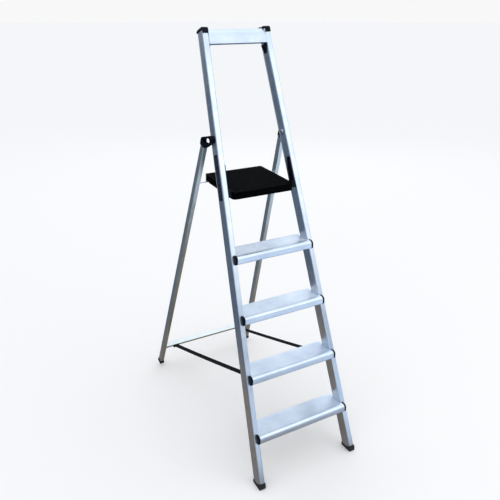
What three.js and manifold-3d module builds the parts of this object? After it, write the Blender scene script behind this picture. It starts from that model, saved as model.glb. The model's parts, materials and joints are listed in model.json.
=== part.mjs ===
// A five-step aluminium platform step ladder, standing open.
//
// Two raked stiles carry four treads, a folding black platform and the hoop of a handrail. A rear
// frame of two splayed legs turns about a pin through each stile, and two webbing straps hold it open.
// The platform's side lips hook over a round rod between the rear legs.
//
// Millimetres, +Z up, +Y towards the rear legs, X across the ladder. The front frame is drawn in its
// own raked frame, where y runs through the depth of the stiles and z climbs along them.

import * as THREE from 'three';
import { mergeVertices } from 'three/addons/utils/BufferGeometryUtils.js';
import Module from 'manifold-3d';

const manifold = await Module();
manifold.setup();

// Driving dimensions

const degrees = THREE.MathUtils.degToRad;
const stepPitch = 240; // rise from one standing surface to the next
const treadDrop = 12; // each tread's top under its pitch line
const treadCount = 4; // treads below the platform
const rake = degrees(19.8); // front frame, back from upright
const taper = degrees(2.8); // each stile, inwards as it climbs
const baseHalf = 252; // outer half width of the stiles where they meet the floor
const gap = 0.3; // clearance between fitted pieces

const stile = { width: 25, depth: 55, wall: 2, corner: 3, foot: 25, top: 1935 };
const nosing = { reach: 26, height: 36, topRadius: 14, underRadius: 8, wall: 3, capInset: 11, cap: 9, lip: 0.8 };
const tread = { back: 86, skin: 3, lip: 22, edge: 4, corner: 8, ribs: [18, 52], rib: 9 };
const rail = { bottom: 1873, face: 1908, top: 1937, roll: 22, depth: 48, wall: 3, lip: 14, flange: 20 };
const topCap = { overhang: 2.5, skirt: 1, lip: 15, shoulder: 1938, crown: 1952, ridge: 42, railClearance: 6 };
topCap.wing = { front: 24, inward: 14 };
const railPad = { thickness: 4, front: 5, back: 50, tip: 30, height: 38 };
const label = { bottom: 1240, top: 1430, front: 12, back: 44, thickness: 0.6 };

const legRake = degrees(20.5); // rear frame, forward from upright
const splay = degrees(3.42); // each rear leg, outwards as it goes down
const leg = { outerHalf: 198.6, width: 20, depth: 30, wall: 1.6, corner: 2.5, offset: 33.6, top: 46, end: 1476 };
const hinge = { along: 1493, eye: 16, bore: 5.1, pin: 5, armInner: 181.4, armOuter: 185 };
const head = { inner: 181, outer: 204, front: 31, back: 66, bottom: 57, shoulder: 37, round: 24, seat: 42, web: 14 };
head.slot = { y: 38, z: -27, radius: 9, reach: 9 };
const brace = { at: 1354, height: 14, depth: 28 };
const rod = { radius: 3, clearance: 0.6, mouth: degrees(32) };

const platform = { along: 1262, half: 148.5, rearHalf: 145, front: 36, back: 246, height: 32, skin: 4, wall: 3.5 };
platform.tilt = degrees(3); // rear edge, up from level
const platformCorner = { front: 18, back: 8 };
const bracket = { thickness: 4, block: 16, face: 149.4, foot: 16, tall: 120 };

const strap = { width: 30, thickness: 2.2, rearAt: 200, frontAt: 185, clear: 0.4, tab: 20, inset: 36 };
const strapPlate = { thickness: 2, height: 26, half: 13 };
const strapClamp = { thickness: 4, foot: 2.5, rise: 4.5, under: 14, half: 18 };
const shoe = { wall: 2, toe: 14, front: 29, middle: 23, back: 35, rearTop: 6 };

const finishes = {
  aluminium: { color: 0xc9d3e0, roughness: 0.35, metalness: 0.9 },
  legAluminium: { color: 0xaab4b4, roughness: 0.4, metalness: 0.9 },
  steel: { color: 0xd6d8da, roughness: 0.2, metalness: 1 },
  blackPlastic: { color: 0x15161a, roughness: 0.45, metalness: 0 },
  platformBlack: { color: 0x0f0f10, roughness: 0.7, metalness: 0 },
  rubber: { color: 0x121212, roughness: 0.85, metalness: 0 },
  webbing: { color: 0x101012, roughness: 0.9, metalness: 0 },
  labelInk: { color: 0x2c3038, roughness: 0.5, metalness: 0 },
};

// Where things are

const rakeSin = Math.sin(rake);
const rakeCos = Math.cos(rake);
const climb = (y, z) => y * rakeSin + z * rakeCos; // distance along the stiles of a level point
const outerHalf = (along) => baseHalf - along * Math.tan(taper);
const innerHalf = (along) => outerHalf(along) - stile.width / Math.cos(taper);
const legOuterHalf = (down) => leg.outerHalf + down * Math.tan(splay);
const legInnerHalf = (down) => legOuterHalf(down) - leg.width / Math.cos(splay);

function levelPoint(depth, along) {
  return {
    y: depth * rakeCos + along * rakeSin,
    z: along * rakeCos - depth * rakeSin,
  };
}

const hingeAxis = levelPoint(stile.depth / 2, hinge.along);
const platformAxis = levelPoint(stile.depth / 2, platform.along);

// Rear frame coordinates: y behind the hinge axis, z up along the legs with the hinge at 0.

function rearPoint(behind, down) {
  return {
    y: hingeAxis.y + behind * Math.cos(legRake) + down * Math.sin(legRake),
    z: hingeAxis.z + behind * Math.sin(legRake) - down * Math.cos(legRake),
  };
}

// The rod runs through the middle of the legs, level with the platform's axis.
const rodBehind = leg.offset + leg.depth / 2;
const rodDown = (hingeAxis.z - platformAxis.z + rodBehind * Math.sin(legRake)) / Math.cos(legRake);
const rodAxis = rearPoint(rodBehind, rodDown);

// Groups

const ladder = new THREE.Group();
const frontFrame = new THREE.Group();
frontFrame.rotation.x = -rake;
ladder.add(frontFrame);

const rearFrame = new THREE.Group();
rearFrame.position.set(0, hingeAxis.y, hingeAxis.z);
rearFrame.rotation.x = legRake;
ladder.add(rearFrame);

function sideGroup(parent, side, half, angle) {
  const group = new THREE.Group();
  group.position.x = side * half;
  group.rotation.y = -side * angle;
  parent.add(group);
  group.updateWorldMatrix(true, false);
  return group;
}

const sides = [
  { name: 'left', sign: -1 },
  { name: 'right', sign: 1 },
];

for (const side of sides) {
  side.stile = sideGroup(frontFrame, side.sign, baseHalf, taper);
  side.leg = sideGroup(rearFrame, side.sign, leg.outerHalf, splay);
}

function add(parent, name, geometry, finish) {
  const mesh = new THREE.Mesh(geometry, new THREE.MeshStandardMaterial(finish));
  mesh.name = name;
  parent.add(mesh);
  return mesh;
}

// Solids

function outlineOf(points) {
  return new THREE.Shape(points.map(([x, y]) => new THREE.Vector2(x, y)));
}

function rectangle(left, bottom, right, top) {
  return outlineOf([
    [left, bottom],
    [right, bottom],
    [right, top],
    [left, top],
  ]);
}

function roundedRectangle(left, bottom, right, top, radii) {
  const [lowLeft, lowRight, highRight, highLeft] = radii;
  const shape = new THREE.Shape();
  shape.moveTo(left + lowLeft, bottom);
  shape.lineTo(right - lowRight, bottom);
  shape.absarc(right - lowRight, bottom + lowRight, lowRight, -Math.PI / 2, 0, false);
  shape.lineTo(right, top - highRight);
  shape.absarc(right - highRight, top - highRight, highRight, 0, Math.PI / 2, false);
  shape.lineTo(left + highLeft, top);
  shape.absarc(left + highLeft, top - highLeft, highLeft, Math.PI / 2, Math.PI, false);
  shape.lineTo(left, bottom + lowLeft);
  shape.absarc(left + lowLeft, bottom + lowLeft, lowLeft, Math.PI, 1.5 * Math.PI, false);
  return shape;
}

function circle(y, z, radius, facets = 24) {
  const points = [];
  for (let i = 0; i < facets; i += 1) {
    const angle = (2 * Math.PI * i) / facets;
    points.push([y + radius * Math.cos(angle), z + radius * Math.sin(angle)]);
  }
  return outlineOf(points);
}

function extrude(shape, length, curveSegments = 4) {
  return new THREE.ExtrudeGeometry(shape, { depth: length, bevelEnabled: false, curveSegments });
}

// Carries an outline drawn in y and z across x, between two ends that may depend on y and z.
function across(outline, from, to, curveSegments = 4) {
  const geometry = extrude(outline, 1, curveSegments);
  const position = geometry.attributes.position;
  for (let i = 0; i < position.count; i += 1) {
    const y = position.getX(i);
    const z = position.getY(i);
    const end = position.getZ(i) < 0.5 ? from : to;
    position.setXYZ(i, typeof end === 'function' ? end(y, z) : end, y, z);
  }
  geometry.computeVertexNormals();
  return geometry;
}

// The same span of distances from the middle, on the chosen side: near < far.
function spanOn(sign, near, far) {
  const at = (end, y, z) => (typeof end === 'function' ? end(y, z) : end);
  const inner = (y, z) => sign * at(near, y, z);
  const outer = (y, z) => sign * at(far, y, z);
  return sign > 0 ? [inner, outer] : [outer, inner];
}

// The same span of distances inwards from a stile's or leg's outer face, in its own group.
function spanIn(sign, near, far) {
  return spanOn(-sign, near, far);
}

// Carries an outline drawn in x and z through y.
function through(outline, from, to, curveSegments = 4) {
  const geometry = extrude(outline, to - from, curveSegments);
  geometry.rotateX(Math.PI / 2);
  geometry.translate(0, to, 0);
  return geometry;
}

function crossRod(radius, from, to, y, z, facets = 24) {
  const geometry = new THREE.CylinderGeometry(radius, radius, to - from, facets);
  geometry.rotateZ(Math.PI / 2);
  geometry.translate((from + to) / 2, y, z);
  return geometry;
}

function solid(geometry) {
  const bare = geometry.clone();
  bare.deleteAttribute('normal');
  bare.deleteAttribute('uv');
  const merged = mergeVertices(bare, 1e-3);
  return new manifold.Manifold(
    new manifold.Mesh({
      numProp: 3,
      vertProperties: Float32Array.from(merged.attributes.position.array),
      triVerts: Uint32Array.from(merged.index.array),
    }),
  );
}

function geometryOf(body) {
  const mesh = body.getMesh();
  const geometry = new THREE.BufferGeometry();
  geometry.setAttribute('position', new THREE.BufferAttribute(mesh.vertProperties, 3));
  geometry.setIndex(new THREE.BufferAttribute(mesh.triVerts, 1));
  geometry.computeVertexNormals();
  return geometry;
}

function join(...geometries) {
  return geometryOf(geometries.map(solid).reduce((whole, piece) => whole.add(piece)));
}

function cut(geometry, ...tools) {
  return geometryOf(tools.map(solid).reduce((whole, tool) => whole.subtract(tool), solid(geometry)));
}

function common(one, other) {
  return geometryOf(solid(one).intersect(solid(other)));
}

function rectangularTube(width, depth, wall, corner, length) {
  const tube = roundedRectangle(0, 0, width, depth, [corner, corner, corner, corner]);
  tube.holes.push(rectangle(wall, wall, width - wall, depth - wall));
  return extrude(tube, length, 3);
}

// Moves a geometry made in world coordinates into a group's own coordinates.
function intoGroup(geometry, group) {
  return geometry.applyMatrix4(group.matrixWorld.clone().invert());
}

// Everything under the floor.
function underfloor() {
  const size = 4000;
  return new THREE.BoxGeometry(size, size, size).translate(0, 0, -size / 2);
}

// Front frame: stiles, feet, caps, label

function stileGeometry(side) {
  const length = stile.top - stile.foot;
  const tube = rectangularTube(stile.width, stile.depth, stile.wall, stile.corner, length);
  tube.translate(side.sign > 0 ? -stile.width : 0, 0, stile.foot);
  const drill = crossRod(hinge.bore, -baseHalf, baseHalf, hingeAxis.y, hingeAxis.z);
  return cut(tube, intoGroup(drill, side.stile));
}

function frontFootGeometry(side) {
  const far = stile.width + shoe.wall;
  const outline = outlineOf([
    [-shoe.wall, shoe.toe],
    [shoe.toe, -stile.foot],
    [stile.depth + shoe.wall, -stile.foot],
    [stile.depth + shoe.wall, shoe.back],
    [stile.depth / 2, shoe.middle],
    [-shoe.wall, shoe.front],
  ]);
  const pocket = rectangle(-gap, stile.foot - gap, stile.depth + gap, stile.foot + shoe.back);
  return cut(
    across(outline, ...spanIn(side.sign, -shoe.wall, far)),
    across(pocket, ...spanIn(side.sign, -gap, stile.width + gap)),
    intoGroup(underfloor(), side.stile),
  );
}

// An arch with straight legs, highest at the ridge: the outline of a domed cap seen from one side.
function archOutline(left, right, ridge) {
  const { shoulder, crown } = topCap;
  const shape = new THREE.Shape();
  shape.moveTo(left, stile.top - topCap.lip);
  shape.lineTo(right, stile.top - topCap.lip);
  shape.lineTo(right, shoulder);
  shape.absellipse(ridge, shoulder, right - ridge, crown - shoulder, 0, Math.PI / 2, false);
  shape.absellipse(ridge, shoulder, ridge - left, crown - shoulder, Math.PI / 2, Math.PI, false);
  return shape;
}

// A dome over the stile's end, from a front and a back depth, as far inwards as `inner`.
function domeGeometry(side, front, inner) {
  const back = stile.depth + topCap.overhang;
  const [start, end] = side.sign > 0 ? [-inner, topCap.overhang] : [-topCap.overhang, inner];
  return common(
    across(archOutline(front, back, topCap.ridge), start, end, 6),
    through(archOutline(start, end, (start + end) / 2), front, back, 6),
  );
}

// Two domes, the rear one reaching inwards over the top rail, with a lip down the stile's front.
function topCapGeometry(side) {
  const { overhang, skirt, lip, wing, railClearance } = topCap;
  const low = stile.top - 2 * lip;
  const reach = stile.width + wing.inward;
  const pocket = rectangle(-gap, low, stile.depth + gap, stile.top + gap);
  const beyondLip = rectangle(-gap, low, 2 * stile.depth, stile.top - skirt);
  const railSide = rectangle(-stile.depth, low, 2 * stile.depth, rail.top + railClearance);
  return cut(
    join(domeGeometry(side, -overhang, stile.width + overhang), domeGeometry(side, wing.front, reach)),
    across(pocket, ...spanIn(side.sign, -gap, stile.width + gap)),
    across(beyondLip, ...spanIn(side.sign, -2 * overhang, stile.width + gap)),
    across(railSide, ...spanIn(side.sign, stile.width - gap, 2 * reach)),
  );
}

function labelGeometry(side) {
  const outline = roundedRectangle(label.front, label.bottom, label.back, label.top, [3, 3, 3, 3]);
  return across(outline, ...spanIn(side.sign, -gap - label.thickness, -gap));
}

for (const side of sides) {
  add(side.stile, `stile_${side.name}`, stileGeometry(side), finishes.aluminium);
  add(side.stile, `front_foot_${side.name}`, frontFootGeometry(side), finishes.rubber);
  add(side.stile, `top_cap_${side.name}`, topCapGeometry(side), finishes.blackPlastic);
}
add(sides[0].stile, 'label', labelGeometry(sides[0]), finishes.labelInk);

// Top rail: an open-backed extrusion whose front rolls over into its top

function topRailGeometry() {
  const { bottom, face, top, roll, depth, wall } = rail;
  const shape = new THREE.Shape();
  shape.moveTo(0, bottom);
  shape.lineTo(0, face);
  shape.absellipse(roll, face, roll, top - face, Math.PI, Math.PI / 2, true);
  shape.lineTo(depth, top);
  shape.lineTo(depth, top - rail.lip);
  shape.lineTo(depth - wall, top - rail.lip);
  shape.lineTo(depth - wall, top - wall);
  shape.lineTo(roll, top - wall);
  shape.absellipse(roll, face, roll - wall, top - face - wall, Math.PI / 2, Math.PI, false);
  shape.lineTo(wall, bottom + wall);
  shape.lineTo(rail.flange, bottom + wall);
  shape.lineTo(rail.flange, bottom);
  const half = (y, z) => innerHalf(z) - gap;
  return across(shape, ...spanOn(1, (y, z) => -half(y, z), half), 8);
}

// The rail's fixing pad: a thin wedge against the stile's inner face, under the rail.
function railPadGeometry(side) {
  const top = rail.bottom - gap;
  const outline = outlineOf([
    [railPad.front, top],
    [railPad.tip - 6, top - railPad.height],
    [railPad.tip + 6, top - railPad.height],
    [railPad.back, top],
  ]);
  const face = (y, z) => innerHalf(z) - gap;
  const back = (y, z) => face(y, z) - railPad.thickness;
  return across(outline, ...spanOn(side.sign, back, face));
}

add(frontFrame, 'top_rail', topRailGeometry(), finishes.aluminium);
for (const side of sides) {
  add(frontFrame, `rail_pad_${side.name}`, railPadGeometry(side), finishes.blackPlastic);
}

// Treads: drawn level, from the line where the stiles' front faces cross the tread's top

// The nosing seen from the end. Its back follows the raked front of the stiles, set back by
// `relief`, and `grow` swells the rest of it.
function nosingOutline(grow, relief) {
  const { reach, height, topRadius, underRadius } = nosing;
  const back = (z) => z * Math.tan(rake) - relief;
  const shape = new THREE.Shape();
  shape.moveTo(back(grow), grow);
  shape.lineTo(topRadius - reach, grow);
  shape.absarc(topRadius - reach, -topRadius, topRadius + grow, Math.PI / 2, Math.PI, false);
  shape.lineTo(-reach - grow, underRadius - height);
  shape.absarc(underRadius - reach, underRadius - height, underRadius + grow, Math.PI, 1.5 * Math.PI, false);
  shape.lineTo(back(-height - grow), -height - grow);
  return shape;
}

// The tread's top skin with its ribs and rear lip, between the stiles.
function treadSkinOutline() {
  const { back, skin, lip, edge, corner, ribs, rib } = tread;
  const front = nosing.topRadius - nosing.reach + nosing.wall;
  const shape = new THREE.Shape();
  shape.moveTo(front, 0);
  shape.lineTo(front, -skin);
  for (const at of ribs) {
    shape.lineTo(at, -skin);
    shape.lineTo(at, -skin - rib);
    shape.lineTo(at + skin, -skin - rib);
    shape.lineTo(at + skin, -skin);
  }
  shape.lineTo(back - corner, -skin);
  shape.lineTo(back - skin, -skin);
  shape.lineTo(back - skin, -lip);
  shape.lineTo(back, -lip);
  shape.lineTo(back, -edge);
  shape.absarc(back - edge, -edge, edge, 0, Math.PI / 2, false);
  shape.lineTo(back - corner, 0);
  return shape;
}

function treadLevel(index) {
  const top = (treadCount - index) * stepPitch - treadDrop;
  return { y: top * Math.tan(rake), z: top };
}

function treadGeometry(at) {
  const along = (y, z) => climb(at.y + y, at.z + z);
  const trim = (y) => Math.max(0, y - (tread.back - tread.corner));
  const skinHalf = (y, z) => innerHalf(along(y, z)) - gap - trim(y);
  const noseHalf = (y, z) => outerHalf(along(y, z)) - nosing.capInset - nosing.cap - gap;
  const spread = (half) => [(y, z) => -half(y, z), half];
  const hollowHalf = (y, z) => noseHalf(y, z) + nosing.cap;
  const nose = cut(
    across(nosingOutline(0, gap), ...spread(noseHalf)),
    across(nosingOutline(-nosing.wall, -nosing.reach), ...spread(hollowHalf)),
  );
  return join(nose, across(treadSkinOutline(), ...spread(skinHalf)));
}

function nosingCapGeometry(at, side) {
  const half = (y, z) => outerHalf(climb(at.y + y, at.z + z)) - nosing.capInset;
  const inner = (y, z) => half(y, z) - nosing.cap;
  return across(nosingOutline(nosing.lip, gap), ...spanOn(side.sign, inner, half), 5);
}

for (let index = 0; index < treadCount; index += 1) {
  const at = treadLevel(index);
  const number = treadCount - index;
  const mesh = add(ladder, `tread_${number}`, treadGeometry(at), finishes.aluminium);
  mesh.position.set(0, at.y, at.z);
  for (const side of sides) {
    const name = `nosing_cap_${number}_${side.name}`;
    const cap = add(ladder, name, nosingCapGeometry(at, side), finishes.blackPlastic);
    cap.position.set(0, at.y, at.z);
  }
}

// Platform: an upturned tray that tips about two pins and hooks over the rod

// Narrows a plan towards its rear edge.
function narrowed(geometry) {
  const { half, rearHalf, back } = platform;
  const position = geometry.attributes.position;
  for (let i = 0; i < position.count; i += 1) {
    const share = Math.max(0, position.getY(i) / back);
    position.setX(i, position.getX(i) * (1 - (1 - rearHalf / half) * share));
  }
  return geometry;
}

// The slot that the rod lies in, open downwards and flared towards the front.
function hookSlot() {
  const offset = new THREE.Vector2(rodAxis.y - platformAxis.y, rodAxis.z - platformAxis.z);
  const at = offset.rotateAround(new THREE.Vector2(), -platform.tilt);
  const fit = rod.radius + rod.clearance;
  const low = -platform.height;
  const shape = new THREE.Shape();
  shape.moveTo(at.x + fit, low);
  shape.lineTo(at.x + fit, at.y);
  shape.absarc(at.x, at.y, fit, 0, Math.PI, false);
  shape.lineTo(at.x - fit + (low - at.y) * Math.tan(rod.mouth), low);
  return across(shape, -2 * platform.half, 2 * platform.half);
}

function platformGeometry() {
  const { half, front, back, height, skin, wall } = platform;
  const corners = [platformCorner.front, platformCorner.front, platformCorner.back, platformCorner.back];
  const innerCorners = corners.map((radius) => radius - wall);
  const plan = roundedRectangle(-half, -front, half, back, corners);
  const inner = roundedRectangle(wall - half, wall - front, half - wall, back - wall, innerCorners);
  const shell = extrude(plan, height, 5).translate(0, 0, -height / 2);
  const hollow = extrude(inner, height, 5).translate(0, 0, -height / 2 - skin);
  return cut(
    narrowed(shell),
    narrowed(hollow),
    hookSlot(),
    crossRod(hinge.bore, -2 * half, 2 * half, 0, 0),
  );
}

// A plate rising along the stile's inner face, with a block that carries the tray's pin.
function bracketGeometry(side) {
  const [front, back] = [6, stile.depth - 6];
  const { along } = platform;
  const plate = outlineOf([
    [front, along - bracket.foot],
    [back, along - bracket.foot],
    [back, along],
    [back - 10, along + bracket.foot],
    [24, along + bracket.tall],
    [front, along + bracket.tall],
  ]);
  const { block } = bracket;
  const corner = 6;
  const blockOutline = roundedRectangle(
    front,
    along - block,
    back,
    along + block,
    [corner, corner, corner, corner],
  );
  const wall = (y, z) => innerHalf(z) - gap;
  const skin = (y, z) => wall(y, z) - bracket.thickness;
  return join(
    across(plate, ...spanOn(side.sign, skin, wall)),
    across(blockOutline, ...spanOn(side.sign, bracket.face, (y, z) => wall(y, z) - 1)),
  );
}

function platformPinGeometry(side) {
  const [near, far] = [platform.half - 8, bracket.face - gap];
  const [start, end] = side.sign > 0 ? [near, far] : [-far, -near];
  return crossRod(hinge.pin, start, end, stile.depth / 2, platform.along);
}

const tray = add(ladder, 'platform', platformGeometry(), finishes.platformBlack);
tray.position.set(0, platformAxis.y, platformAxis.z);
tray.rotation.x = platform.tilt;
for (const side of sides) {
  add(frontFrame, `platform_bracket_${side.name}`, bracketGeometry(side), finishes.blackPlastic);
  add(frontFrame, `platform_pin_${side.name}`, platformPinGeometry(side), finishes.steel);
}

// Hinges: a pin through each stile, a washer, and the arm that the rear leg hangs from

function hingePinGeometry(side) {
  const inside = innerHalf(hinge.along) - 3 * gap;
  const outside = hinge.armOuter + gap;
  const profile = [
    [0, inside - 3.5],
    [8, inside - 3.5],
    [11, inside - 1.5],
    [11, inside],
    [hinge.pin, inside],
    [hinge.pin, outside],
    [9, outside],
    [9, outside + 1.5],
    [6, outside + 3],
    [0, outside + 3],
  ];
  const geometry = new THREE.LatheGeometry(profile.map(([r, x]) => new THREE.Vector2(r, x)), 24);
  geometry.rotateZ(-side.sign * (Math.PI / 2));
  return geometry;
}

function hingeWasherGeometry(side) {
  const ring = circle(0, 0, 14);
  ring.holes.push(circle(0, 0, hinge.bore));
  const near = outerHalf(hinge.along) + 1;
  return across(ring, ...spanOn(side.sign, near, hinge.armInner - gap));
}

// The rear of the arm and of the head share this rounded shoulder.
function shoulderArc(shape, startAngle) {
  const { back, shoulder, round } = head;
  shape.absarc(back - round, -shoulder, round, startAngle, 0, true);
  shape.lineTo(back, -head.bottom);
  shape.lineTo(head.front, -head.bottom);
}

// A slot through the arm, level while the ladder stands open.
function slotOutline() {
  const { y, z, radius, reach } = head.slot;
  const lean = new THREE.Vector2(reach * Math.cos(legRake), -reach * Math.sin(legRake));
  const shape = new THREE.Shape();
  shape.absarc(y + lean.x, z + lean.y, radius, -Math.PI / 2 - legRake, Math.PI / 2 - legRake, false);
  shape.absarc(y - lean.x, z - lean.y, radius, Math.PI / 2 - legRake, 1.5 * Math.PI - legRake, false);
  return shape;
}

// An eye round the pin, drawn out by two tangents to the shoulder and to the head's front corner.
function armOutline() {
  const toShoulder = { y: head.back - head.round, z: -head.shoulder };
  const toCorner = { y: head.front, z: -head.bottom };
  const angleTo = (point) => Math.atan2(point.z, point.y);
  const swing = (point, radius) => Math.acos((hinge.eye - radius) / Math.hypot(point.y, point.z));
  const upper = angleTo(toShoulder) + swing(toShoulder, head.round);
  const lower = angleTo(toCorner) - swing(toCorner, 0);
  const shape = new THREE.Shape();
  shape.absarc(0, 0, hinge.eye, lower, upper, true);
  shoulderArc(shape, upper);
  shape.holes.push(slotOutline());
  shape.holes.push(circle(0, 0, hinge.bore));
  return shape;
}

function headOutline() {
  const shape = new THREE.Shape();
  shape.moveTo(head.front, -head.seat);
  shape.lineTo(head.back - head.web, -head.seat);
  shoulderArc(shape, Math.acos((head.round - head.web) / head.round));
  return shape;
}

function hingeArmGeometry(side) {
  const pocket = rectangle(leg.offset - gap, -2 * head.bottom, leg.offset + leg.depth + gap, gap - leg.top);
  const socket = across(pocket, ...spanIn(side.sign, -gap, leg.width + gap));
  return cut(
    join(
      across(armOutline(), ...spanOn(side.sign, hinge.armInner, hinge.armOuter), 12),
      across(headOutline(), ...spanOn(side.sign, head.inner, head.outer), 6),
    ),
    socket.applyMatrix4(side.leg.matrix),
  );
}

for (const side of sides) {
  const pin = add(ladder, `hinge_pin_${side.name}`, hingePinGeometry(side), finishes.steel);
  pin.position.set(0, hingeAxis.y, hingeAxis.z);
  const washer = add(ladder, `hinge_washer_${side.name}`, hingeWasherGeometry(side), finishes.blackPlastic);
  washer.position.set(0, hingeAxis.y, hingeAxis.z);
  add(rearFrame, `hinge_arm_${side.name}`, hingeArmGeometry(side), finishes.blackPlastic);
}

// Rear frame: legs, feet, brace and the rod that the platform hooks over

function rearLegGeometry(side) {
  const tube = rectangularTube(leg.width, leg.depth, leg.wall, leg.corner, leg.end - leg.top);
  tube.translate(side.sign > 0 ? -leg.width : 0, leg.offset, -leg.end);
  return tube;
}

function rearFootGeometry(side) {
  const front = leg.offset - shoe.wall;
  const back = leg.offset + leg.depth + shoe.wall;
  const top = shoe.rearTop - leg.end;
  const outline = rectangle(front, -leg.end - 2 * shoe.rearTop, back, top);
  const pocket = rectangle(leg.offset - gap, -leg.end - gap, leg.offset + leg.depth + gap, top + shoe.rearTop);
  return cut(
    across(outline, ...spanIn(side.sign, -shoe.wall, leg.width + shoe.wall)),
    across(pocket, ...spanIn(side.sign, -gap, leg.width + gap)),
    intoGroup(underfloor(), side.leg),
  );
}

// The brace's section grown by a margin, in rear frame coordinates.
function braceOutline(margin) {
  const middle = leg.offset + leg.depth / 2;
  const halfDepth = brace.depth / 2 + margin;
  const halfHeight = brace.height / 2 + margin;
  const corner = 2 + margin;
  return roundedRectangle(
    middle - halfDepth,
    -brace.at - halfHeight,
    middle + halfDepth,
    -brace.at + halfHeight,
    [corner, corner, corner, corner],
  );
}

function braceGeometry() {
  const half = (y, z) => legInnerHalf(-z) - gap;
  const tube = braceOutline(0);
  tube.holes.push(braceOutline(-leg.wall));
  return across(tube, (y, z) => -half(y, z), half, 3);
}

for (const side of sides) {
  add(side.leg, `rear_leg_${side.name}`, rearLegGeometry(side), finishes.legAluminium);
  add(side.leg, `rear_foot_${side.name}`, rearFootGeometry(side), finishes.rubber);
}
add(rearFrame, 'rear_brace', braceGeometry(), finishes.legAluminium);

const rodHalf = legInnerHalf(rodDown - rod.radius) - gap;
add(rearFrame, 'platform_rod', crossRod(rod.radius, -rodHalf, rodHalf, rodBehind, -rodDown, 16), finishes.steel);

// Straps: flat webbing from a plate under the second tread up to a clamp on the brace

const strapTread = treadLevel(treadCount - 2);
const tabBack = strapTread.y + strap.inset; // rear face of the strap's upright tab
const tabTop = strapTread.z - tread.skin - tread.rib;

// Depth of the brace's front face and height of its underside, in rear frame coordinates.
const braceFace = leg.offset + (leg.depth - brace.depth) / 2;
const braceUnder = -brace.at - brace.height / 2;

function strapGeometry(side) {
  const { width, thickness, clear } = strap;
  const front = braceFace - clear - thickness / 2;
  const entry = rearPoint(front, brace.at + brace.height / 4);
  const bend = { y: tabBack, z: tabTop - strap.tab };
  const band = outlineOf([
    [bend.y, tabTop],
    [bend.y - thickness, tabTop],
    [bend.y - thickness, bend.z - thickness],
    [entry.y, entry.z - thickness / 2],
    [entry.y, entry.z + thickness / 2],
    [bend.y, bend.z],
  ]);
  const slant = (strap.rearAt - strap.frontAt) / (entry.y - bend.y);
  const near = (y) => strap.frontAt - width / 2 + slant * (y - bend.y);
  const far = (y) => near(y) + width;
  const endTop = braceUnder + brace.height / 2;
  const tab = rectangle(front - thickness / 2, braceUnder, front + thickness / 2, endTop);
  const end = across(tab, ...spanOn(side.sign, strap.rearAt - width / 2, strap.rearAt + width / 2));
  return join(across(band, ...spanOn(side.sign, near, far)), end.applyMatrix4(rearFrame.matrixWorld));
}

// An angle that grips the strap's end against the brace's front face and turns under the brace.
function strapClampGeometry(side) {
  const back = braceFace - strap.clear - strap.thickness - gap;
  const top = braceUnder - gap;
  const outline = outlineOf([
    [back - strapClamp.thickness, top - strapClamp.foot],
    [braceFace + strapClamp.under, top - strapClamp.foot],
    [braceFace + strapClamp.under, top],
    [back, top],
    [back, top + strapClamp.rise - strapClamp.foot],
    [back - strapClamp.thickness, top + strapClamp.rise - strapClamp.foot],
  ]);
  const { half } = strapClamp;
  return across(outline, ...spanOn(side.sign, strap.rearAt - half, strap.rearAt + half));
}

function strapPlateGeometry(side) {
  const front = tabBack + gap;
  const top = strapTread.z - tread.skin - gap;
  const outline = rectangle(front, top - strapPlate.height, front + strapPlate.thickness, top);
  const { half } = strapPlate;
  return across(outline, ...spanOn(side.sign, strap.frontAt - half, strap.frontAt + half));
}

for (const side of sides) {
  add(ladder, `strap_${side.name}`, strapGeometry(side), finishes.webbing);
  add(ladder, `strap_plate_${side.name}`, strapPlateGeometry(side), finishes.steel);
  add(rearFrame, `strap_clamp_${side.name}`, strapClampGeometry(side), finishes.blackPlastic);
}

// The origin is on the floor, in the middle of the ladder's own box.

const whole = new THREE.Group();
whole.add(ladder);
ladder.position.y = -new THREE.Box3().setFromObject(ladder, true).getCenter(new THREE.Vector3()).y;

export default whole;
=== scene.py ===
"""A folding aluminium step ladder with a black platform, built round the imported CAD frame.

Metres, +Z up, +Y from the treads towards the rear legs. Lengths below are in millimetres
where they are multiplied by MM.
"""

import json
import math

import bmesh
import bpy
from mathutils import Matrix, Vector


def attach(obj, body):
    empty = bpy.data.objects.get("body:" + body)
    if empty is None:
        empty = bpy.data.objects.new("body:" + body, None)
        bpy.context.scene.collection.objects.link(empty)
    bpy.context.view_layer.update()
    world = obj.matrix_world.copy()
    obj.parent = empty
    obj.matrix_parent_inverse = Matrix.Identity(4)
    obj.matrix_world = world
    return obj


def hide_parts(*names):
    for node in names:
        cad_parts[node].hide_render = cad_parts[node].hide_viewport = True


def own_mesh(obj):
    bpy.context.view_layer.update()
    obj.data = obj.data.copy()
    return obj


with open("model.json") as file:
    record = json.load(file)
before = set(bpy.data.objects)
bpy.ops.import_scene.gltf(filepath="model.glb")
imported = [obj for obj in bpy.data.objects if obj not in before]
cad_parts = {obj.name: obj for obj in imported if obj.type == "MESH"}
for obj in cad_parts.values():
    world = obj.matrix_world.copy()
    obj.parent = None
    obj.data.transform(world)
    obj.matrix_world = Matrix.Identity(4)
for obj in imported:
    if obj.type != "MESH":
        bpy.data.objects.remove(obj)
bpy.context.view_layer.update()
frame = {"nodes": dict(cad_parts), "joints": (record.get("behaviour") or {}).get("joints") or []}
nodes = frame["nodes"]
joints = {joint["name"]: joint for joint in frame["joints"]}

MM = 0.001
GAP = 0.3 * MM  # clearance between fitted pieces
SIDES = (("left", -1), ("right", 1))

# The design's angles and sizes, as in the CAD model

RAKE = math.radians(19.8)  # front frame, back from upright
TAPER = math.radians(2.8)  # each stile, inwards as it climbs
LEG_RAKE = math.radians(20.5)  # rear frame, forward from upright
SPLAY = math.radians(3.42)  # each rear leg, outwards as it goes down
PLATFORM_TILT = math.radians(3)

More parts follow.
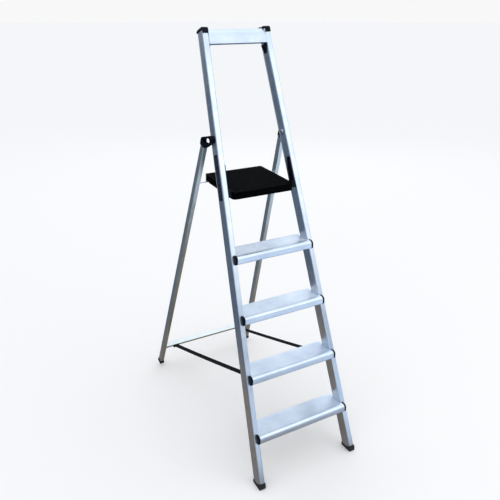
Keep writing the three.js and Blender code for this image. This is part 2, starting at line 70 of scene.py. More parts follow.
BASE_HALF = 252 * MM  # outer half width of the stiles at the floor
STILE_WIDTH = 25 * MM
STILE_DEPTH = 55 * MM
STILE_FOOT = 25 * MM
STILE_TOP = 1935 * MM
HINGE_ALONG = 1493 * MM
LEG_HALF = 198.6 * MM
LEG_WIDTH = 20 * MM
LEG_DEPTH = 30 * MM
LEG_OFFSET = 33.6 * MM
BRACE_AT = 1354 * MM
BRACE_HEIGHT = 14 * MM
BRACE_DEPTH = 28 * MM
STEP_PITCH = 240 * MM
TREAD_DROP = 12 * MM
TREAD_COUNT = 4
TREAD_BACK = 86 * MM
NOSE_REACH = 26 * MM
NOSE_HEIGHT = 36 * MM
CAP_INSET = 11 * MM
CAP_WIDTH = 9 * MM
STRAP_WIDTH = 30 * MM
STRAP_THICKNESS = 2.2 * MM
STRAP_REAR = 200 * MM  # distance from the middle to each strap's centre line at the brace
STRAP_FRONT = 185 * MM  # the same at the tread
STRAP_TAB = 20 * MM
STRAP_INSET = 36 * MM
STRAP_CLEAR = 0.4 * MM  # between the strap and the brace's front face

# Where the frames stand

HINGE = Vector(joints["fold"]["pos_m"])
PLATFORM_AXIS = Vector(joints["platform_tilt"]["pos_m"])
RAKED = Matrix.Rotation(-RAKE, 4, "X")
FRONT_ORIGIN = HINGE - RAKED @ Vector((0, STILE_DEPTH / 2, HINGE_ALONG))
FRONT = Matrix.Translation(FRONT_ORIGIN) @ RAKED  # local y is depth, local z climbs the stiles
REAR = Matrix.Translation(HINGE) @ Matrix.Rotation(LEG_RAKE, 4, "X")
TRAY = Matrix.Translation(PLATFORM_AXIS) @ Matrix.Rotation(PLATFORM_TILT, 4, "X")


def stile_frame(sign):
    """The outer face of a stile is at x 0, with z climbing it."""
    shifted = FRONT @ Matrix.Translation((sign * BASE_HALF, 0, 0))
    return shifted @ Matrix.Rotation(-sign * TAPER, 4, "Y")


def leg_frame(sign):
    """The outer face of a rear leg is at x 0, with the hinge's height at z 0."""
    shifted = REAR @ Matrix.Translation((sign * LEG_HALF, 0, 0))
    return shifted @ Matrix.Rotation(-sign * SPLAY, 4, "Y")


def outer_half(along):
    return BASE_HALF - along * math.tan(TAPER)


def inner_half(along):
    return outer_half(along) - STILE_WIDTH / math.cos(TAPER)


def tread_origin(number):
    """Where the stiles' front faces cross tread number's top; 1 is the lowest."""
    height = number * STEP_PITCH - TREAD_DROP
    return Vector((0, FRONT_ORIGIN.y + height * math.tan(RAKE), height))


# Camera


CAMERA_LENS = 41.5
CAMERA_SENSOR = 36
CAMERA_SHIFT = (-0.0012, -0.0083)
CAMERA_LEFT = 1.198  # from the ladder's middle
CAMERA_AHEAD = 1.6065  # from the foot of the stiles
CAMERA_HEIGHT = 1.897
CAMERA_DOWN = 22.43  # degrees below level
CAMERA_ROUND = 29.19  # degrees round from straight ahead


def add_camera():
    data = bpy.data.cameras.new("camera")
    data.lens = CAMERA_LENS
    data.sensor_width = CAMERA_SENSOR
    data.shift_x, data.shift_y = CAMERA_SHIFT
    camera = bpy.data.objects.new("camera", data)
    camera.location = (-CAMERA_LEFT, FRONT_ORIGIN.y - CAMERA_AHEAD, CAMERA_HEIGHT)
    camera.rotation_euler = (math.radians(90 - CAMERA_DOWN), 0, math.radians(-CAMERA_ROUND))
    bpy.context.scene.collection.objects.link(camera)
    bpy.context.scene.camera = camera


add_camera()

# Node helpers


class Shader:
    """A material or world tree, with short ways to add and join nodes."""

    def __init__(self, tree):
        self.tree = tree

    def node(self, kind, inputs=None, **settings):
        made = self.tree.nodes.new(kind)
        for name, value in settings.items():
            setattr(made, name, value)
        for key, value in (inputs or {}).items():
            socket = made.inputs[key]
            if isinstance(value, bpy.types.NodeSocket):
                self.tree.links.new(value, socket)
            else:
                socket.default_value = value
        return made

    def math(self, operation, first, second=0.0):
        return self.node("ShaderNodeMath", {0: first, 1: second}, operation=operation).outputs[0]

    def mix(self, factor, first, second):
        made = self.node("ShaderNodeMix", {0: factor, 6: first, 7: second}, data_type="RGBA")
        return made.outputs[2]

    def ramp(self, value, low, high, start=0.0, end=1.0):
        """value, taken from start..end to low..high and kept inside it."""
        made = self.node(
            "ShaderNodeMapRange",
            {"Value": value, "From Min": start, "From Max": end, "To Min": low, "To Max": high},
        )
        return made.outputs[0]

    def noise(self, vector, scale, detail=3.0, roughness=0.5):
        made = self.node(
            "ShaderNodeTexNoise",
            {"Vector": vector, "Scale": scale, "Detail": detail, "Roughness": roughness},
        )
        return made.outputs["Fac"]

    def mapped(self, vector, rotation, scale):
        turned = self.node("ShaderNodeMapping", {"Vector": vector, "Rotation": rotation})
        return self.node("ShaderNodeMapping", {"Vector": turned.outputs[0], "Scale": scale}).outputs[0]

    def bump(self, height, distance, strength):
        inputs = {"Height": height, "Distance": distance, "Strength": strength}
        return self.node("ShaderNodeBump", inputs).outputs[0]


def new_material(name):
    """An empty principled material: the shader helper, its principled node and object coordinates."""
    material = bpy.data.materials.new(name)
    material.use_nodes = True
    shader = Shader(material.node_tree)
    principled = material.node_tree.nodes["Principled BSDF"]
    place = shader.node("ShaderNodeTexCoord").outputs["Object"]
    return material, shader, principled, place


def colour(red, green, blue):
    return (red, green, blue, 1.0)


def link(shader, source, principled, socket):
    shader.tree.links.new(source, principled.inputs[socket])


# Materials


def aluminium(name, light, dark, turn, stretch, rough=(0.24, 0.42)):
    """Drawn aluminium: fine die lines along one way, faint mottling, and dull handling marks."""
    material, shader, principled, place = new_material(name)
    lines = shader.noise(shader.mapped(place, (turn, 0, 0), stretch), 1.0, 4.0, 0.65)
    mottle = shader.noise(place, 9.0, 4.0, 0.55)
    smears = shader.noise(place, 38.0, 3.0, 0.6)
    cloudy = shader.ramp(mottle, 0.0, 0.65, 0.3, 0.7)
    tone = shader.math("ADD", cloudy, shader.ramp(lines, 0.0, 0.35, 0.3, 0.7))
    link(shader, shader.mix(tone, colour(*dark), colour(*light)), principled, "Base Color")
    handled = shader.ramp(smears, 0.0, 0.6, 0.35, 0.75)
    dull = shader.math("ADD", handled, shader.ramp(lines, 0.0, 0.4, 0.3, 0.7))
    link(shader, shader.ramp(dull, *rough), principled, "Roughness")
    link(shader, shader.bump(lines, 0.00006, 0.5), principled, "Normal")
    principled.inputs["Metallic"].default_value = 1.0
    principled.inputs["Anisotropic"].default_value = 0.3
    return material


def steel(name):
    """Zinc-plated steel with a faint cloudy bloom."""
    material, shader, principled, place = new_material(name)
    bloom = shader.noise(place, 160.0, 3.0)
    tone = shader.ramp(bloom, 0.0, 1.0, 0.3, 0.7)
    shade = shader.mix(tone, colour(0.62, 0.63, 0.64), colour(0.82, 0.83, 0.84))
    link(shader, shade, principled, "Base Color")
    link(shader, shader.ramp(bloom, 0.16, 0.34, 0.3, 0.7), principled, "Roughness")
    link(shader, shader.bump(bloom, 0.00003, 0.25), principled, "Normal")
    principled.inputs["Metallic"].default_value = 1.0
    return material


def black_plastic(name, base, rough, grain, depth, gloss):
    """Moulded plastic: a fine spark-eroded grain, with paler scuffs worn on its edges."""
    material, shader, principled, place = new_material(name)
    fine = shader.noise(place, grain, 2.0, 0.6)
    cloud = shader.noise(place, 70.0, 4.0)
    pointiness = shader.node("ShaderNodeNewGeometry").outputs["Pointiness"]
    edge = shader.ramp(pointiness, 0.0, 0.55, 0.54, 0.62)
    scuffs = shader.math("MULTIPLY", edge, shader.ramp(cloud, 0.0, 1.0, 0.4, 0.7))
    body = shader.mix(cloud, colour(*base), colour(*(1.35 * value for value in base)))
    link(shader, shader.mix(scuffs, body, colour(0.045, 0.047, 0.055)), principled, "Base Color")
    mottle = shader.math("ADD", cloud, fine)
    link(shader, shader.ramp(mottle, rough[0], rough[1], 0.6, 1.4), principled, "Roughness")
    link(shader, shader.bump(fine, depth, 0.6), principled, "Normal")
    principled.inputs["Specular IOR Level"].default_value = gloss
    return material


def rubber(name):
    """Dusty moulded rubber, greyer towards the floor it stands on."""
    material, shader, principled, place = new_material(name)
    grit = shader.noise(place, 900.0, 2.0)
    dust = shader.noise(place, 60.0, 5.0, 0.6)
    height = shader.node("ShaderNodeSeparateXYZ", {0: place}).outputs["Z"]
    low = shader.ramp(height, 0.45, 0.0, 0.0, 0.03)
    share = shader.math("MULTIPLY", low, shader.ramp(dust, 0.2, 1.0, 0.35, 0.65))
    shade = shader.mix(share, colour(0.012, 0.012, 0.013), colour(0.11, 0.105, 0.1))
    link(shader, shade, principled, "Base Color")
    link(shader, shader.ramp(dust, 0.62, 0.85, 0.3, 0.7), principled, "Roughness")
    link(shader, shader.bump(grit, 0.00015, 0.5), principled, "Normal")
    return material


def webbing(name):
    """Woven polyester strap: a checked weave of fine threads."""
    material, shader, principled, place = new_material(name)
    parts = shader.node("ShaderNodeSeparateXYZ", {0: place}).outputs
    step = 0.9 * MM
    along = shader.math("ADD", parts["Y"], parts["Z"])
    rows = shader.math("SINE", shader.math("MULTIPLY", along, math.tau / (1.6 * step)))
    warp = shader.math("SINE", shader.math("MULTIPLY", parts["X"], math.tau / (2 * step)))
    weave = shader.math("MULTIPLY", rows, warp)
    fuzz = shader.noise(place, 1500.0, 3.0)
    woven = shader.ramp(weave, 0.0, 1.0, -1.0, 1.0)
    height = shader.math("ADD", woven, shader.math("MULTIPLY", fuzz, 0.5))
    shade = shader.mix(height, colour(0.0015, 0.0015, 0.0018), colour(0.008, 0.008, 0.009))
    link(shader, shade, principled, "Base Color")
    link(shader, shader.ramp(fuzz, 0.7, 0.9), principled, "Roughness")
    link(shader, shader.bump(height, 0.0003, 0.8), principled, "Normal")
    principled.inputs["Sheen Weight"].default_value = 0.01
    principled.inputs["Specular IOR Level"].default_value = 0.04
    return material


def film(name, base):
    """Printed film: an even satin face with a slight orange peel."""
    material, shader, principled, place = new_material(name)
    peel = shader.noise(place, 260.0, 2.0)
    wear = shader.noise(place, 70.0, 5.0, 0.65)
    worn = colour(*(1.3 * value + 0.004 for value in base))
    patches = shader.ramp(wear, 0.0, 1.0, 0.45, 0.7)
    link(shader, shader.mix(patches, colour(*base), worn), principled, "Base Color")
    link(shader, shader.ramp(wear, 0.28, 0.5), principled, "Roughness")
    link(shader, shader.bump(peel, 0.00005, 0.4), principled, "Normal")
    principled.inputs["Specular IOR Level"].default_value = 0.2
    return material


STILE_LIGHT = (0.86, 0.91, 0.97)
STILE_DARK = (0.62, 0.69, 0.8)
LEG_LIGHT = (0.86, 0.89, 0.88)
LEG_DARK = (0.66, 0.69, 0.66)
ALONG = (520, 520, 5)  # noise scale for die lines that run along local z
ACROSS = (5, 520, 520)  # the same for lines that run across the ladder

BLUE_BLACK = (0.003, 0.004, 0.009)
DEEP_BLACK = (0.0012, 0.0012, 0.0013)

materials = {
    "stile": aluminium("stile_aluminium", STILE_LIGHT, STILE_DARK, RAKE, ALONG),
    "tread": aluminium("tread_aluminium", STILE_LIGHT, STILE_DARK, 0.0, ACROSS, (0.3, 0.46)),
    "leg": aluminium("leg_aluminium", LEG_LIGHT, LEG_DARK, -LEG_RAKE, ALONG, (0.3, 0.48)),
    "brace": aluminium("brace_aluminium", LEG_LIGHT, LEG_DARK, 0.0, ACROSS, (0.3, 0.48)),
    "steel": steel("zinc_steel"),
    "plastic": black_plastic("black_plastic", BLUE_BLACK, (0.28, 0.44), 1400.0, 0.00005, 0.08),
    "platform": black_plastic("platform_plastic", DEEP_BLACK, (0.45, 0.65), 1100.0, 0.00016, 0.012),
    "rubber": rubber("foot_rubber"),
    "webbing": webbing("strap_webbing"),
    "label": film("label_film", (0.004, 0.006, 0.016)),
    "label_panel": film("label_panels", (0.022, 0.03, 0.055)),
}

# Mesh helpers


def mesh_object(name, body, material, bevel=None, place=None):
    """A new shown object from a bmesh, with its edges rounded and its faces smooth."""
    if place is not None:
        body.transform(place)
    bmesh.ops.recalc_face_normals(body, faces=body.faces)
    data = bpy.data.meshes.new(name)
    body.to_mesh(data)
    body.free()
    made = bpy.data.objects.new(name, data)
    bpy.context.scene.collection.objects.link(made)
    data.materials.append(materials[material])
    soften(made, bevel)
    return made


def soften(made, bevel):
    """Rounds the hard edges and evens the shading across flat faces."""
    made.data.shade_smooth()
    if bevel:
        rounding = made.modifiers.new("rounding", "BEVEL")
        rounding.width = bevel
        rounding.segments = 2
        rounding.limit_method = "ANGLE"
        rounding.angle_limit = math.radians(32)
        rounding.use_clamp_overlap = True
    weighted = made.modifiers.new("shading", "WEIGHTED_NORMAL")
    weighted.weight = 60
    weighted.keep_sharp = True


def carry_over(name, material, bevel):
    """Gives a CAD node its finish, joins its flat facets and rounds its edges."""
    node = nodes[name]
    node.data.materials.clear()
    node.data.materials.append(materials[material])
    weld = node.modifiers.new("weld", "WELD")
    weld.merge_threshold = 0.00002
    flat = node.modifiers.new("flat", "DECIMATE")
    flat.decimate_type = "DISSOLVE"
    flat.angle_limit = math.radians(1.0)
    soften(node, bevel)
    return node


def loft(sections, body=None):
    """A closed skin through sections that each hold the same number of points."""
    body = body or bmesh.new()
    rings = [[body.verts.new(point) for point in section] for section in sections]
    count = len(rings[0])
    for lower, upper in zip(rings, rings[1:]):
        for i in range(count):
            j = (i + 1) % count
            body.faces.new((lower[i], lower[j], upper[j], upper[i]))
    body.faces.new(rings[0][::-1])
    body.faces.new(rings[-1])
    return body


def across(outline, near, far, body=None):
    """A prism from an outline in y and z, between two x values that may depend on y and z."""

    def at(end):
        return [(end(y, z) if callable(end) else end, y, z) for y, z in outline]

    return loft([at(near), at(far)], body)


def upright(outline, bottom, top):
    """A prism from an outline in x and y."""
    return loft([[(x, y, z) for x, y in outline] for z in (bottom, top)])


def rounded(corners, steps=5):
    """A polygon of (a, b, radius) corners with each corner turned through an arc."""
    points = []
    count = len(corners)
    for i, (a, b, radius) in enumerate(corners):
        here = Vector((a, b))
        if radius <= 0:
            points.append(here)
            continue
        back = (Vector(corners[i - 1][:2]) - here).normalized()
        ahead = (Vector(corners[(i + 1) % count][:2]) - here).normalized()
        half = back.angle(ahead) / 2
        centre = here + (back + ahead).normalized() * (radius / math.sin(half))
        start = here + back * (radius / math.tan(half)) - centre
        finish = here + ahead * (radius / math.tan(half)) - centre
        sweep = start.angle_signed(finish)
        for k in range(steps + 1):
            turn = Matrix.Rotation(-sweep * k / steps, 2)
            points.append(centre + turn @ start)
    return [tuple(point) for point in points]


def rounded_box(left, bottom, right, top, radius):
    corners = ((left, bottom), (right, bottom), (right, top), (left, top))
    return rounded([(a, b, radius) for a, b in corners])


DOME_RINGS = 6
DOME_TURNS = 24
DOME_SHARE = 0.97  # of the quarter turn to the crown, which leaves a small flat top


def dome_head(radius, rise, place):
    """A domed cover, standing on the plane z 0 of place."""
    sections = []
    for k in range(DOME_RINGS + 1):
        angle = math.pi / 2 * k / DOME_RINGS * DOME_SHARE
        out, up = radius * math.cos(angle), rise * math.sin(angle)
        turns = [math.tau * i / DOME_TURNS for i in range(DOME_TURNS)]
        sections.append([place @ Vector((out * math.cos(t), out * math.sin(t), up)) for t in turns])
    return loft(sections)


# Floor, world and lights


def add_stage():
    """A wide floor, evenly pale where the camera sees it. What bounces off it is painted darker, warm near
    the ladder's foot, cool elsewhere and paler towards the front right: this is painted shade and painted
    reflection in the ladder's metal.
    """
    body = bmesh.new()
    bmesh.ops.create_circle(body, cap_ends=True, segments=96, radius=90)
    data = bpy.data.meshes.new("floor")
    body.to_mesh(data)
    body.free()
    floor = bpy.data.objects.new("floor", data)
    bpy.context.scene.collection.objects.link(floor)
    material = bpy.data.materials.new("pale_floor")
    material.use_nodes = True
    shader = Shader(material.node_tree)
    place = shader.node("ShaderNodeTexCoord").outputs["Object"]
    reach = shader.node("ShaderNodeVectorMath", {0: place}, operation="LENGTH").outputs["Value"]
    parts = shader.node("ShaderNodeSeparateXYZ", {0: place}).outputs
    forward = shader.math("SUBTRACT", parts["X"], parts["Y"])
    turned = shader.ramp(forward, 0.0, 1.0, -0.6, 1.6)
    # painted reflection: only bouncing rays see this tone. It is dark and warm near the ladder's foot, and
    # cool and darker towards the back left, which paints shade into the metal.
    painted_cool_bounce = shader.mix(turned, colour(0.1, 0.125, 0.155), colour(0.7, 0.76, 0.84))
    tone = shader.mix(shader.ramp(reach, 0.0, 1.0, 0.45, 1.15), colour(0.26, 0.2, 0.15), painted_cool_bounce)
    painted_bounce = shader.node("ShaderNodeBsdfDiffuse", {"Color": tone}).outputs[0]
    seen = shader.node("ShaderNodeBsdfDiffuse", {"Color": colour(0.97, 0.9, 0.84)}).outputs[0]
    by_camera = shader.node("ShaderNodeLightPath").outputs["Is Camera Ray"]
    mixed = shader.node("ShaderNodeMixShader", {0: by_camera, 1: painted_bounce, 2: seen}).outputs[0]
    shader.tree.links.new(mixed, material.node_tree.nodes["Material Output"].inputs["Surface"])
    data.materials.append(material)


def add_world():
    """A studio surround that brightens overhead, with an even pale backdrop."""
    world = bpy.data.worlds.new("studio")
    bpy.context.scene.world = world
    world.use_nodes = True
    shader = Shader(world.node_tree)
    toward = shader.node("ShaderNodeTexCoord").outputs["Generated"]
    height = shader.node("ShaderNodeSeparateXYZ", {0: toward}).outputs["Z"]
    surround = shader.node(
        "ShaderNodeBackground",
        {"Color": colour(0.83, 0.91, 1.0), "Strength": shader.ramp(height, 0.3, 1.35, 0.0, 0.8)},
    ).outputs[0]
    backdrop = shader.node("ShaderNodeBackground", {"Color": colour(0.94, 0.94, 0.94)}).outputs[0]
    by_camera = shader.node("ShaderNodeLightPath").outputs["Is Camera Ray"]
    mixed = shader.node("ShaderNodeMixShader", {0: by_camera, 1: surround, 2: backdrop}).outputs[0]
    shader.tree.links.new(mixed, world.node_tree.nodes["World Output"].inputs["Surface"])


def add_softbox(name, place, aim, size, power, tint=(1, 1, 1)):
    data = bpy.data.lights.new(name, "AREA")
    data.shape = "RECTANGLE"
    data.size, data.size_y = size
    data.energy = power
    data.color = tint
    lamp = bpy.data.objects.new(name, data)
    lamp.location = place
    lamp.rotation_euler = (Vector(aim) - Vector(place)).to_track_quat("-Z", "Y").to_euler()
    lamp.visible_camera = False
    bpy.context.scene.collection.objects.link(lamp)


def add_lights():
    add_softbox("key", (2.3, -4.2, 2.95), (0, 0, 1.2), (3.4, 3.2), 27, (0.96, 0.98, 1.0))
    add_softbox("back", (3.2, 4.6, 3.2), (0, 0, 0.8), (4.5, 2.6), 14, (0.9, 0.94, 1.0))


add_stage()
add_world()
add_lights()
bpy.context.scene.view_settings.view_transform = "Standard"

# Stiles, feet and top caps


def stile_outline(sign):
    """The box section with rounded corners and two fine grooves down each side face."""
    groove, deep = 1.2 * MM, 0.5 * MM
    levels = (8 * MM, STILE_DEPTH - 8 * MM)
    corner = 4 * MM

    def grooves(x, inwards, upwards):
        points = []
        for level in levels if upwards else levels[::-1]:
            step = groove if upwards else -groove
            points += [
                (x, level - step, 0),
                (x + inwards * deep, level - step / 2, 0),
                (x + inwards * deep, level + step / 2, 0),
                (x, level + step, 0),
            ]
        return points

    inner = -sign * STILE_WIDTH
    low, high = min(0, inner), max(0, inner)
    corners = [(low, 0, corner), (high, 0, corner)]
    corners += grooves(high, -1, True)
    corners += [(high, STILE_DEPTH, corner), (low, STILE_DEPTH, corner)]
    corners += grooves(low, 1, False)
    return rounded(corners)


def add_stiles():
    for side, sign in SIDES:
        body = upright(stile_outline(sign), STILE_FOOT, STILE_TOP)
        name = f"stile_tube_{side}"
        stile = mesh_object(name, body, "stile", place=stile_frame(sign))
        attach(stile, "front_frame")
        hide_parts(f"stile_{side}")
        carry_over(f"front_foot_{side}", "rubber", 1.2 * MM)
        carry_over(f"top_cap_{side}", "plastic", 1.4 * MM)


# Treads

GROOVE_PITCH = 5 * MM
GROOVE_DEPTH = 0.9 * MM
GROOVE_HALF = 0.8 * MM


def nose_outline():
    """The nosing's wall, open behind: round on top, flat in front, with a return flange."""
    wall = 3 * MM
    top, under = 14 * MM, 8 * MM
    tan = math.tan(RAKE)
    outer = [
        (-GAP, 0, 0),
        (-NOSE_REACH, 0, top),
        (-NOSE_REACH, -NOSE_HEIGHT, under),
        (-NOSE_HEIGHT * tan - GAP, -NOSE_HEIGHT, 0),
    ]
    inner = [
        ((wall - NOSE_HEIGHT) * tan - GAP, wall - NOSE_HEIGHT, 0),
        (wall - NOSE_REACH, wall - NOSE_HEIGHT, under - wall),
        (wall - NOSE_REACH, -wall, top - wall),
        (-wall * tan - GAP, -wall, 0),
    ]
    return rounded(outer + inner, 10)


def deck_outline():
    """The top skin with fine grip grooves, two stiffening ribs below and a rear lip."""
    skin, rib, lip, edge = 3 * MM, 9 * MM, 22 * MM, 4 * MM
    start = -9 * MM
    corners = [(start, 0, 0)]
    count = int((TREAD_BACK - 2 * edge - start) / GROOVE_PITCH)
    for k in range(1, count):
        at = start + k * GROOVE_PITCH
        corners += [
            (at - GROOVE_HALF, 0, 0),
            (at - GROOVE_HALF / 2, -GROOVE_DEPTH, 0),
            (at + GROOVE_HALF / 2, -GROOVE_DEPTH, 0),
            (at + GROOVE_HALF, 0, 0),
        ]
    tip = 1.2 * MM
    corners += [(TREAD_BACK, 0, edge), (TREAD_BACK, -lip, tip), (TREAD_BACK - skin, -lip, tip)]
    corners += [(TREAD_BACK - skin, -skin, 0)]
    for at in (55 * MM, 21 * MM):
        corners += [(at, -skin, 0), (at, -skin - rib, 0), (at - skin, -skin - rib, 0), (at - skin, -skin, 0)]
    corners += [(start, -skin, 0)]
    return rounded(corners, 6)


def join_solids(made, other):
    """Unites two closed meshes and removes the second."""
    union = made.modifiers.new("union", "BOOLEAN")
    union.operation = "UNION"
    union.solver = "EXACT"
    union.object = other
    while made.modifiers[0] != union:
        made.modifiers.move(made.modifiers.find("union"), 0)
    bpy.context.view_layer.update()
    with bpy.context.temp_override(object=made, active_object=made):
        bpy.ops.object.modifier_apply(modifier="union")
    bpy.data.objects.remove(other)


def add_tread(number):
    origin = tread_origin(number)
    place = Matrix.Translation(origin)

    def along(y, z):
        return (origin.y + y - FRONT_ORIGIN.y) * math.sin(RAKE) + (origin.z + z) * math.cos(RAKE)

    def nose_half(y, z):
        return outer_half(along(y, z)) - CAP_INSET - CAP_WIDTH - GAP

    def deck_half(y, z):
        trim = max(0, y - (TREAD_BACK - 8 * MM))
        return inner_half(along(y, z)) - GAP - trim

    nose = across(nose_outline(), lambda y, z: -nose_half(y, z), nose_half)
    tread = mesh_object(f"tread_{number}_extrusion", nose, "tread", 0.3 * MM, place)
    deck = across(deck_outline(), lambda y, z: -deck_half(y, z), deck_half)
    join_solids(tread, mesh_object("deck", deck, "tread", place=place))
    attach(tread, "front_frame")
    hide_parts(f"tread_{number}")
    for side, _ in SIDES:
        carry_over(f"nosing_cap_{number}_{side}", "plastic", 1.6 * MM)


def add_rail():
    """The top rail: its face rolls over into the top, with two fine lines along the face."""
    bottom, face, top = 1873 * MM, 1908 * MM, 1937 * MM
    roll, depth, wall, lip, flange = 22 * MM, 48 * MM, 3 * MM, 14 * MM, 20 * MM
    steps = 14
    corners = [(0, bottom, 0.8 * MM)]
    for level in (bottom + 6 * MM, face - 2 * MM):
        corners += [(0, level - 0.7 * MM, 0), (0.5 * MM, level, 0), (0, level + 0.7 * MM, 0)]
    for k in range(steps + 1):
        angle = math.pi / 2 * k / steps
        corners.append((roll * (1 - math.cos(angle)), face + (top - face) * math.sin(angle), 0))
    corners += [(depth, top, 2.5 * MM), (depth, top - lip, 0.8 * MM), (depth - wall, top - lip, 0.8 * MM)]
    corners += [(depth - wall, top - wall, 0)]
    for k in range(steps, -1, -1):
        angle = math.pi / 2 * k / steps
        reach = (roll - wall) * math.cos(angle)
        corners.append((roll - reach, face + (top - face - wall) * math.sin(angle), 0))
    corners += [(wall, bottom + wall, 0), (flange, bottom + wall, 0.8 * MM), (flange, bottom, 0.8 * MM)]
    outline = rounded(corners, 4)

    def half(_, z):
        return inner_half(z) - GAP

    body = across(outline, lambda y, z: -half(y, z), half)
    rail = mesh_object("handrail_top", body, "tread", 0.5 * MM, FRONT)
    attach(rail, "front_frame")
    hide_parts("top_rail")
    for side, _ in SIDES:
        carry_over(f"rail_pad_{side}", "plastic", 0.8 * MM)


# Platform


def add_platform_ribs():
    """Stiffening ribs under the tray's skin, clear above the rod that crosses below them."""
    under, low, thick = 12.2 * MM, 3 * MM, 2.2 * MM
    front, back, half = -32.4 * MM, 242.4 * MM, 139 * MM
    bays, pitch = 6, 46 * MM
    start, end, rise = front + 4 * MM, back - 1 * MM, low + 0.4 * MM
    body = bmesh.new()
    for k in range(1, bays):
        y = front + (back - front) * k / bays
        across([(y, low), (y + thick, low), (y + thick, under), (y, under)], -half, half, body)
    for k in range(-2, 3):
        x = k * pitch
        outline = [(start, rise), (end, rise), (end, under), (start, under)]
        across(outline, x - thick / 2, x + thick / 2, body)
    ribs = mesh_object("platform_ribs", body, "platform", 0.3 * MM, TRAY)
    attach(ribs, "platform")


def add_platform():
    """The tray keeps its CAD shape; a field of low ribs makes its top grip."""
    carry_over("platform", "platform", 2.2 * MM)
    top, sunk, slope = 16 * MM, 0.4 * MM, 0.8 * MM
    back, front, half_width, inset = 238 * MM, -28 * MM, 138 * MM, 8 * MM
    pitch, width, rise = 9 * MM, 5 * MM, 1.1 * MM
    body = bmesh.new()
    rows = int((back - front) / pitch)
    for row in range(rows):
        y = front + (row + 0.5) * pitch
        half = half_width - (inset if row in (0, rows - 1) else 0)
        outline = [
            (y - width / 2, top - sunk),
            (y - width / 2 + slope, top + rise),
            (y + width / 2 - slope, top + rise),
            (y + width / 2, top - sunk),
        ]
        across(outline, -half, half, body)
    grip = mesh_object("platform_grip", body, "platform", 0.4 * MM, TRAY)
    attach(grip, "platform")
    add_platform_ribs()
    for side, _ in SIDES:
        carry_over(f"platform_bracket_{side}", "plastic", 1.2 * MM)
        carry_over(f"platform_pin_{side}", "steel", 0.5 * MM)


# Hinges, rear legs, brace and rod


def add_hinges():
    """Each pin's outer head wears a black domed cover."""
    radius, rise, seat = 10 * MM, 3.7 * MM, 185.7 * MM
    for side, sign in SIDES:
        facing = Matrix.Translation(HINGE + Vector((sign * seat, 0, 0)))
        cover = dome_head(radius, rise, facing @ Matrix.Rotation(sign * math.pi / 2, 4, "Y"))
        covered = mesh_object(f"hinge_cover_{side}", cover, "plastic")
        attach(covered, "front_frame")
        carry_over(f"hinge_arm_{side}", "plastic", 2.6 * MM)
        carry_over(f"hinge_washer_{side}", "plastic", 0.6 * MM)
        carry_over(f"hinge_pin_{side}", "steel", 0.8 * MM)


def add_rear_frame():
    leg_top, leg_end, corner = -46 * MM, -1476 * MM, 2.5 * MM
    for side, sign in SIDES:
        low, high = sorted((0, -sign * LEG_WIDTH))
        outline = rounded_box(low, LEG_OFFSET, high, LEG_OFFSET + LEG_DEPTH, corner)
        body = upright(outline, leg_end, leg_top)
        leg = mesh_object(f"leg_tube_{side}", body, "leg", place=leg_frame(sign))
        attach(leg, "rear_frame")
        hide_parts(f"rear_leg_{side}")
        carry_over(f"rear_foot_{side}", "rubber", 1.2 * MM)
    carry_over("rear_brace", "brace", 0.6 * MM)
    carry_over("platform_rod", "steel", 0.4 * MM)


# Straps

# The strap's centre line in front of the brace, in the rear frame's y
STRAP_BEHIND = LEG_OFFSET + (LEG_DEPTH - BRACE_DEPTH) / 2 - STRAP_CLEAR - STRAP_THICKNESS / 2
STRAP_RIBS = 7
STRAP_STEPS = 40
STRAP_SPLIT = 0.4  # share of the slanting run that stays with the front frame


def strap_path():
    """Centre line of a strap in y and z: down from the tread, then back to the brace."""
    anchor = tread_origin(2)
    tab_y = anchor.y + STRAP_INSET - STRAP_THICKNESS / 2
    tab_top = anchor.z - 12 * MM
    entry = REAR @ Vector((0, STRAP_BEHIND, -BRACE_AT - BRACE_HEIGHT / 4))
    return [Vector((tab_y, tab_top)), Vector((tab_y, tab_top - STRAP_TAB)), Vector((entry.y, entry.z))]


def strap_section(centre, normal):
    """A flat section with low lengthwise ribs: x across the strap, thickness along normal."""
    points = []
    columns = 2 * STRAP_RIBS
    for upper in (1, -1):
        for k in range(columns + 1):
            share = k / columns if upper > 0 else 1 - k / columns
            rib = 0.12 * STRAP_THICKNESS * (k % 2)
            edge = 0.35 * STRAP_THICKNESS if k in (0, columns) else 0
            out = STRAP_THICKNESS / 2 - rib - edge
            x = centre[0] + (share - 0.5) * STRAP_WIDTH
            points.append((x, centre[1] + upper * out * normal.x, centre[2] + upper * out * normal.y))
    return points


def ribbon(centres):
    """A strap along a chain of (x, y, z) centres."""
    sections = []
    for i, centre in enumerate(centres):
        before = centres[max(i - 1, 0)]
        after = centres[min(i + 1, len(centres) - 1)]
        run = Vector((after[1] - before[1], after[2] - before[2])).normalized()
        sections.append(strap_section(centre, Vector((-run.y, run.x))))
    return loft(sections)


def strap_chain():
    """Centre line of the band in y and z, sagging a little, with the index where it divides."""
    top, bend, entry = strap_path()
    corner = 5 * MM
    sag = 3 * MM
    first = bend - (bend - top).normalized() * corner
    last = bend + (entry - bend).normalized() * corner
    chain = [top.lerp(first, k / 3) for k in range(3)]
    for k in range(7):
        share = k / 6
        chain.append(first.lerp(bend, share).lerp(bend.lerp(last, share), share))
    turn = len(chain) - 1
    for k in range(1, STRAP_STEPS + 1):
        share = k / STRAP_STEPS
        chain.append(last.lerp(entry, share) - Vector((0, 4 * sag * share * (1 - share))))
    return chain, turn + round(STRAP_SPLIT * STRAP_STEPS)


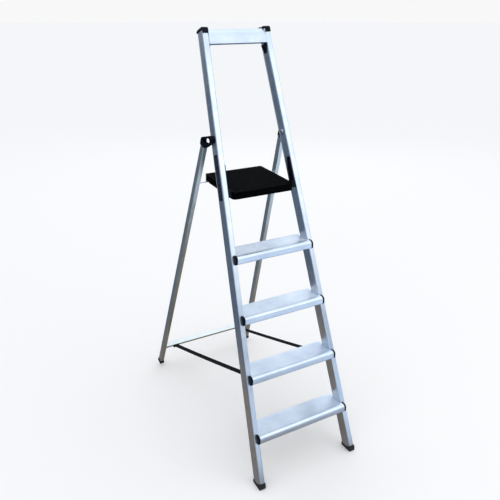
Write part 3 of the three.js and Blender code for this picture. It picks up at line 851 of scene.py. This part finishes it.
def add_straps():
    """Each band is two lengths. As the ladder folds, the upper one drops from the tread and the
    lower one rises from the brace. They meet at rest and again at full fold, and part between."""
    chain, split = strap_chain()
    _, bend, entry = strap_path()
    lengths = (
        ("upper", chain[: split + 1], "front_frame", bend, (0, 0.9934, 0.115), 0.03),
        ("lower", chain[split:], "rear_frame", entry, (0, 0.9967, 0.0812), 0.01),
    )
    for side, sign in SIDES:
        for part, run, body, anchor, axis, keep in lengths:
            centres = []
            for point in run:
                share = max(0, (point.x - bend.x) / (entry.x - bend.x))
                out = STRAP_FRONT + share * (STRAP_REAR - STRAP_FRONT)
                centres.append((sign * out, point.x, point.y))
            made = ribbon(centres)
            strap = mesh_object(f"strap_{part}_{side}", made, "webbing")
            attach(strap, body)
            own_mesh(strap)
            if part == "upper":
                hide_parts(f"strap_{side}")
        add_strap_end(side, sign)
        carry_over(f"strap_plate_{side}", "steel", 0.4 * MM)


def add_strap_end(side, sign):
    """The band's end, flat against the brace's front face, under a black clamp."""
    under = -BRACE_AT - BRACE_HEIGHT / 2
    levels = [under + k * BRACE_HEIGHT / 16 for k in range(9)]
    end = ribbon([(sign * STRAP_REAR, STRAP_BEHIND, z) for z in levels])
    end.transform(REAR)
    tab = mesh_object(f"strap_end_{side}", end, "webbing")
    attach(tab, "rear_frame")
    carry_over(f"strap_clamp_{side}", "plastic", 0.7 * MM)


# Label


def add_label():
    """A dark film with blank paler panels and no lettering."""
    carry_over("label", "label", 0.15 * MM)
    place = stile_frame(-1)
    body = bmesh.new()
    lift, half = 0.95 * MM, 0.1 * MM
    near, far, corner = 16 * MM, 40 * MM, 1.5 * MM
    panels = ((1248, 1300), (1308, 1348), (1356, 1372), (1380, 1424))
    for bottom, top in panels:
        outline = rounded_box(near, bottom * MM, far, top * MM, corner)
        across(outline, -lift - half, -lift + half, body)
    panel = mesh_object("label_panels", body, "label_panel", place=place)
    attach(panel, "front_frame")


add_stiles()
for step in range(1, TREAD_COUNT + 1):
    add_tread(step)
add_rail()
add_platform()
add_hinges()
add_rear_frame()
add_straps()
add_label()

bpy.context.view_layer.update()
